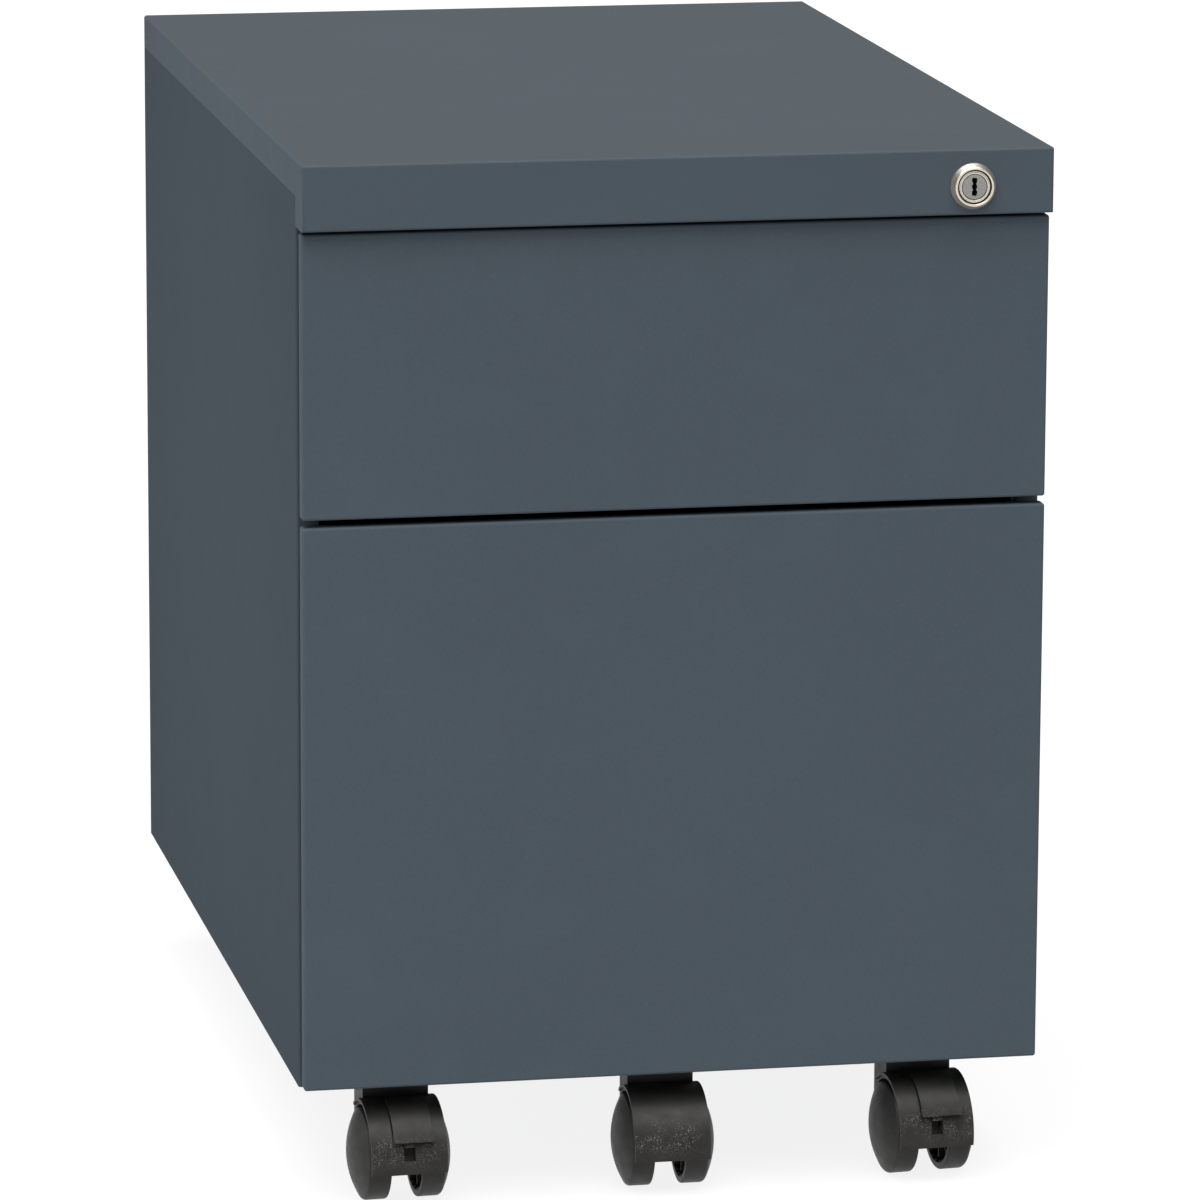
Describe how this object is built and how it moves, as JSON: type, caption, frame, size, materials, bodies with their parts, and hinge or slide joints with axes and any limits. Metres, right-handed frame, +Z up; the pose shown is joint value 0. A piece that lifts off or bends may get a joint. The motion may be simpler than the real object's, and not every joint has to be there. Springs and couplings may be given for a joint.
{
  "type": "mobile filing pedestal",
  "caption": "Mobile steel pedestal: box drawer over a deep file drawer, lock in the top's lip, twin-wheel castors under the body and the file drawer.",
  "frame": {"origin": "middle of the bounding box's underside, on the floor", "axes": "+X to the right seen from the front, front towards -Y, +Z up"},
  "size_m": [0.4, 0.605, 0.563],
  "materials": {
    "carcass_paint": "fine textured powder coat, blue-grey",
    "top_paint": "fine textured powder coat, blue-grey",
    "front_paint": "fine textured powder coat, blue-grey",
    "tray_paint": "fine textured powder coat, blue-grey",
    "zinc": "bright zinc plate",
    "lock_ring": "satin nickel",
    "lock_core": "satin nickel, darkened slot",
    "castor_nylon": "fine grained black nylon",
    "castor_tread": "black nylon, satin, worn at the tread"
  },
  "bodies": {
    "cabinet": {"left_side_panel": "carcass_paint", "right_side_panel": "carcass_paint", "top_panel": "top_paint", "base_panel": "carcass_paint", "back_panel": "carcass_paint", "front_left_upright": "zinc", "front_right_upright": "zinc", "rear_left_upright": "zinc", "rear_right_upright": "zinc", "upper_left_runner_outer": "zinc", "upper_right_runner_outer": "zinc", "file_left_runner_outer": "zinc", "file_right_runner_outer": "zinc", "lock_housing": "lock_ring", "lock_nut": "zinc", "lock_bar_guides": "zinc", "corner_castor_mounts": "zinc", "corner_castor_screws": "zinc"},
    "upper_drawer": {"upper_drawer_front": "front_paint", "upper_drawer_liner": "tray_paint", "upper_drawer_tray": "tray_paint", "upper_front_screws": "zinc", "upper_drawer_catch": "zinc", "upper_runner_inner": "zinc"},
    "file_drawer": {"file_drawer_front": "front_paint", "file_drawer_liner": "tray_paint", "file_drawer_tray": "tray_paint", "file_front_screws": "zinc", "file_drawer_catch": "zinc", "file_runner_inner": "zinc", "hanging_rails": "zinc", "drawer_castor_bracket": "tray_paint", "castor_drawer_mount": "zinc", "drawer_castor_screws": "zinc"},
    "file_runner_middles": {"file_runner_middle": "zinc"},
    "lock_plug": {"lock_plug": "lock_core", "lock_crank": "zinc"},
    "lock_bar": {"lock_bar": "zinc"},
    "castor_front_left": {"castor_front_left_hood": "castor_nylon", "castor_front_left_axle": "zinc"},
    "castor_front_left_left_wheel": {"castor_front_left_left_wheel": "castor_tread"},
    "castor_front_left_right_wheel": {"castor_front_left_right_wheel": "castor_tread"},
    "castor_front_left_brake": {"castor_front_left_brake_lever": "castor_nylon"},
    "castor_front_right": {"castor_front_right_hood": "castor_nylon", "castor_front_right_axle": "zinc"},
    "castor_front_right_left_wheel": {"castor_front_right_left_wheel": "castor_tread"},
    "castor_front_right_right_wheel": {"castor_front_right_right_wheel": "castor_tread"},
    "castor_front_right_brake": {"castor_front_right_brake_lever": "castor_nylon"},
    "castor_rear_left": {"castor_rear_left_hood": "castor_nylon", "castor_rear_left_axle": "zinc"},
    "castor_rear_left_left_wheel": {"castor_rear_left_left_wheel": "castor_tread"},
    "castor_rear_left_right_wheel": {"castor_rear_left_right_wheel": "castor_tread"},
    "castor_rear_right": {"castor_rear_right_hood": "castor_nylon", "castor_rear_right_axle": "zinc"},
    "castor_rear_right_left_wheel": {"castor_rear_right_left_wheel": "castor_tread"},
    "castor_rear_right_right_wheel": {"castor_rear_right_right_wheel": "castor_tread"},
    "castor_drawer": {"castor_drawer_hood": "castor_nylon", "castor_drawer_axle": "zinc"},
    "castor_drawer_left_wheel": {"castor_drawer_left_wheel": "castor_tread"},
    "castor_drawer_right_wheel": {"castor_drawer_right_wheel": "castor_tread"}
  },
  "joints": [
    {"name": "upper_drawer_slide", "type": "slide", "parent": "cabinet", "child": "upper_drawer", "axis": [0, -1, 0], "range_m": [0, 0.4]},
    {"name": "file_drawer_slide", "type": "slide", "parent": "cabinet", "child": "file_drawer", "axis": [0, -1, 0], "range_m": [0, 0.5]},
    {"name": "file_middle_slide", "type": "slide", "parent": "cabinet", "child": "file_runner_middles", "axis": [0, -1, 0], "range_m": [0, 0.25]},
    {"name": "lock_turn", "type": "hinge", "parent": "cabinet", "child": "lock_plug", "pos_m": [0.156, -0.2975, 0.5435], "axis": [0, 1, 0], "range_deg": [0, 90.06]},
    {"name": "lock_bar_slide", "type": "slide", "parent": "cabinet", "child": "lock_bar", "axis": [0, 0, 1], "range_m": [-0.01132, 0]},
    {"name": "castor_front_left_swivel", "type": "hinge", "parent": "cabinet", "child": "castor_front_left", "pos_m": [-0.1463, -0.2475, 0.05], "axis": [0, 0, 1], "continuous": true},
    {"name": "castor_front_left_left_wheel_roll", "type": "hinge", "parent": "castor_front_left", "child": "castor_front_left_left_wheel", "pos_m": [-0.14525, -0.26747, 0.025], "axis": [0.9986, 0.0523, 0], "continuous": true},
    {"name": "castor_front_left_right_wheel_roll", "type": "hinge", "parent": "castor_front_left", "child": "castor_front_left_right_wheel", "pos_m": [-0.14525, -0.26747, 0.025], "axis": [0.9986, 0.0523, 0], "continuous": true},
    {"name": "castor_front_left_brake_press", "type": "hinge", "parent": "castor_front_left", "child": "castor_front_left_brake", "pos_m": [-0.14495, -0.27325, 0.05224], "axis": [0.9986, 0.0523, 0], "range_deg": [0, 4]},
    {"name": "castor_front_right_swivel", "type": "hinge", "parent": "cabinet", "child": "castor_front_right", "pos_m": [0.1407, -0.2475, 0.05], "axis": [0, 0, 1], "continuous": true},
    {"name": "castor_front_right_left_wheel_roll", "type": "hinge", "parent": "castor_front_right", "child": "castor_front_right_left_wheel", "pos_m": [0.14223, -0.26744, 0.025], "axis": [0.9971, 0.0767, 0], "continuous": true},
    {"name": "castor_front_right_right_wheel_roll", "type": "hinge", "parent": "castor_front_right", "child": "castor_front_right_right_wheel", "pos_m": [0.14223, -0.26744, 0.025], "axis": [0.9971, 0.0767, 0], "continuous": true},
    {"name": "castor_front_right_brake_press", "type": "hinge", "parent": "castor_front_right", "child": "castor_front_right_brake", "pos_m": [0.14268, -0.27321, 0.05224], "axis": [0.9971, 0.0767, 0], "range_deg": [0, 4]},
    {"name": "castor_rear_left_swivel", "type": "hinge", "parent": "cabinet", "child": "castor_rear_left", "pos_m": [-0.1463, 0.2445, 0.05], "axis": [0, 0, 1], "continuous": true},
    {"name": "castor_rear_left_left_wheel_roll", "type": "hinge", "parent": "castor_rear_left", "child": "castor_rear_left_left_wheel", "pos_m": [-0.12641, 0.24241, 0.025], "axis": [0.1045, 0.9945, 0], "continuous": true},
    {"name": "castor_rear_left_right_wheel_roll", "type": "hinge", "parent": "castor_rear_left", "child": "castor_rear_left_right_wheel", "pos_m": [-0.12641, 0.24241, 0.025], "axis": [0.1045, 0.9945, 0], "continuous": true},
    {"name": "castor_rear_right_swivel", "type": "hinge", "parent": "cabinet", "child": "castor_rear_right", "pos_m": [0.1407, 0.2445, 0.05], "axis": [0, 0, 1], "continuous": true},
    {"name": "castor_rear_right_left_wheel_roll", "type": "hinge", "parent": "castor_rear_right", "child": "castor_rear_right_left_wheel", "pos_m": [0.14452, 0.22487, 0.025], "axis": [0.9816, 0.1908, 0], "continuous": true},
    {"name": "castor_rear_right_right_wheel_roll", "type": "hinge", "parent": "castor_rear_right", "child": "castor_rear_right_right_wheel", "pos_m": [0.14452, 0.22487, 0.025], "axis": [0.9816, 0.1908, 0], "continuous": true},
    {"name": "castor_drawer_swivel", "type": "hinge", "parent": "file_drawer", "child": "castor_drawer", "pos_m": [-0.001, -0.2475, 0.05], "axis": [0, 0, 1], "continuous": true},
    {"name": "castor_drawer_left_wheel_roll", "type": "hinge", "parent": "castor_drawer", "child": "castor_drawer_left_wheel", "pos_m": [-0.001, -0.2675, 0.025], "axis": [1, 0, 0], "continuous": true},
    {"name": "castor_drawer_right_wheel_roll", "type": "hinge", "parent": "castor_drawer", "child": "castor_drawer_right_wheel", "pos_m": [-0.001, -0.2675, 0.025], "axis": [1, 0, 0], "continuous": true}
  ],
  "couplings": [
    {"joint": "file_middle_slide", "follows": "file_drawer_slide", "ratio": 0.5},
    {"joint": "lock_turn", "follows": "lock_bar_slide", "rad_per_m": -138.84}
  ]
}
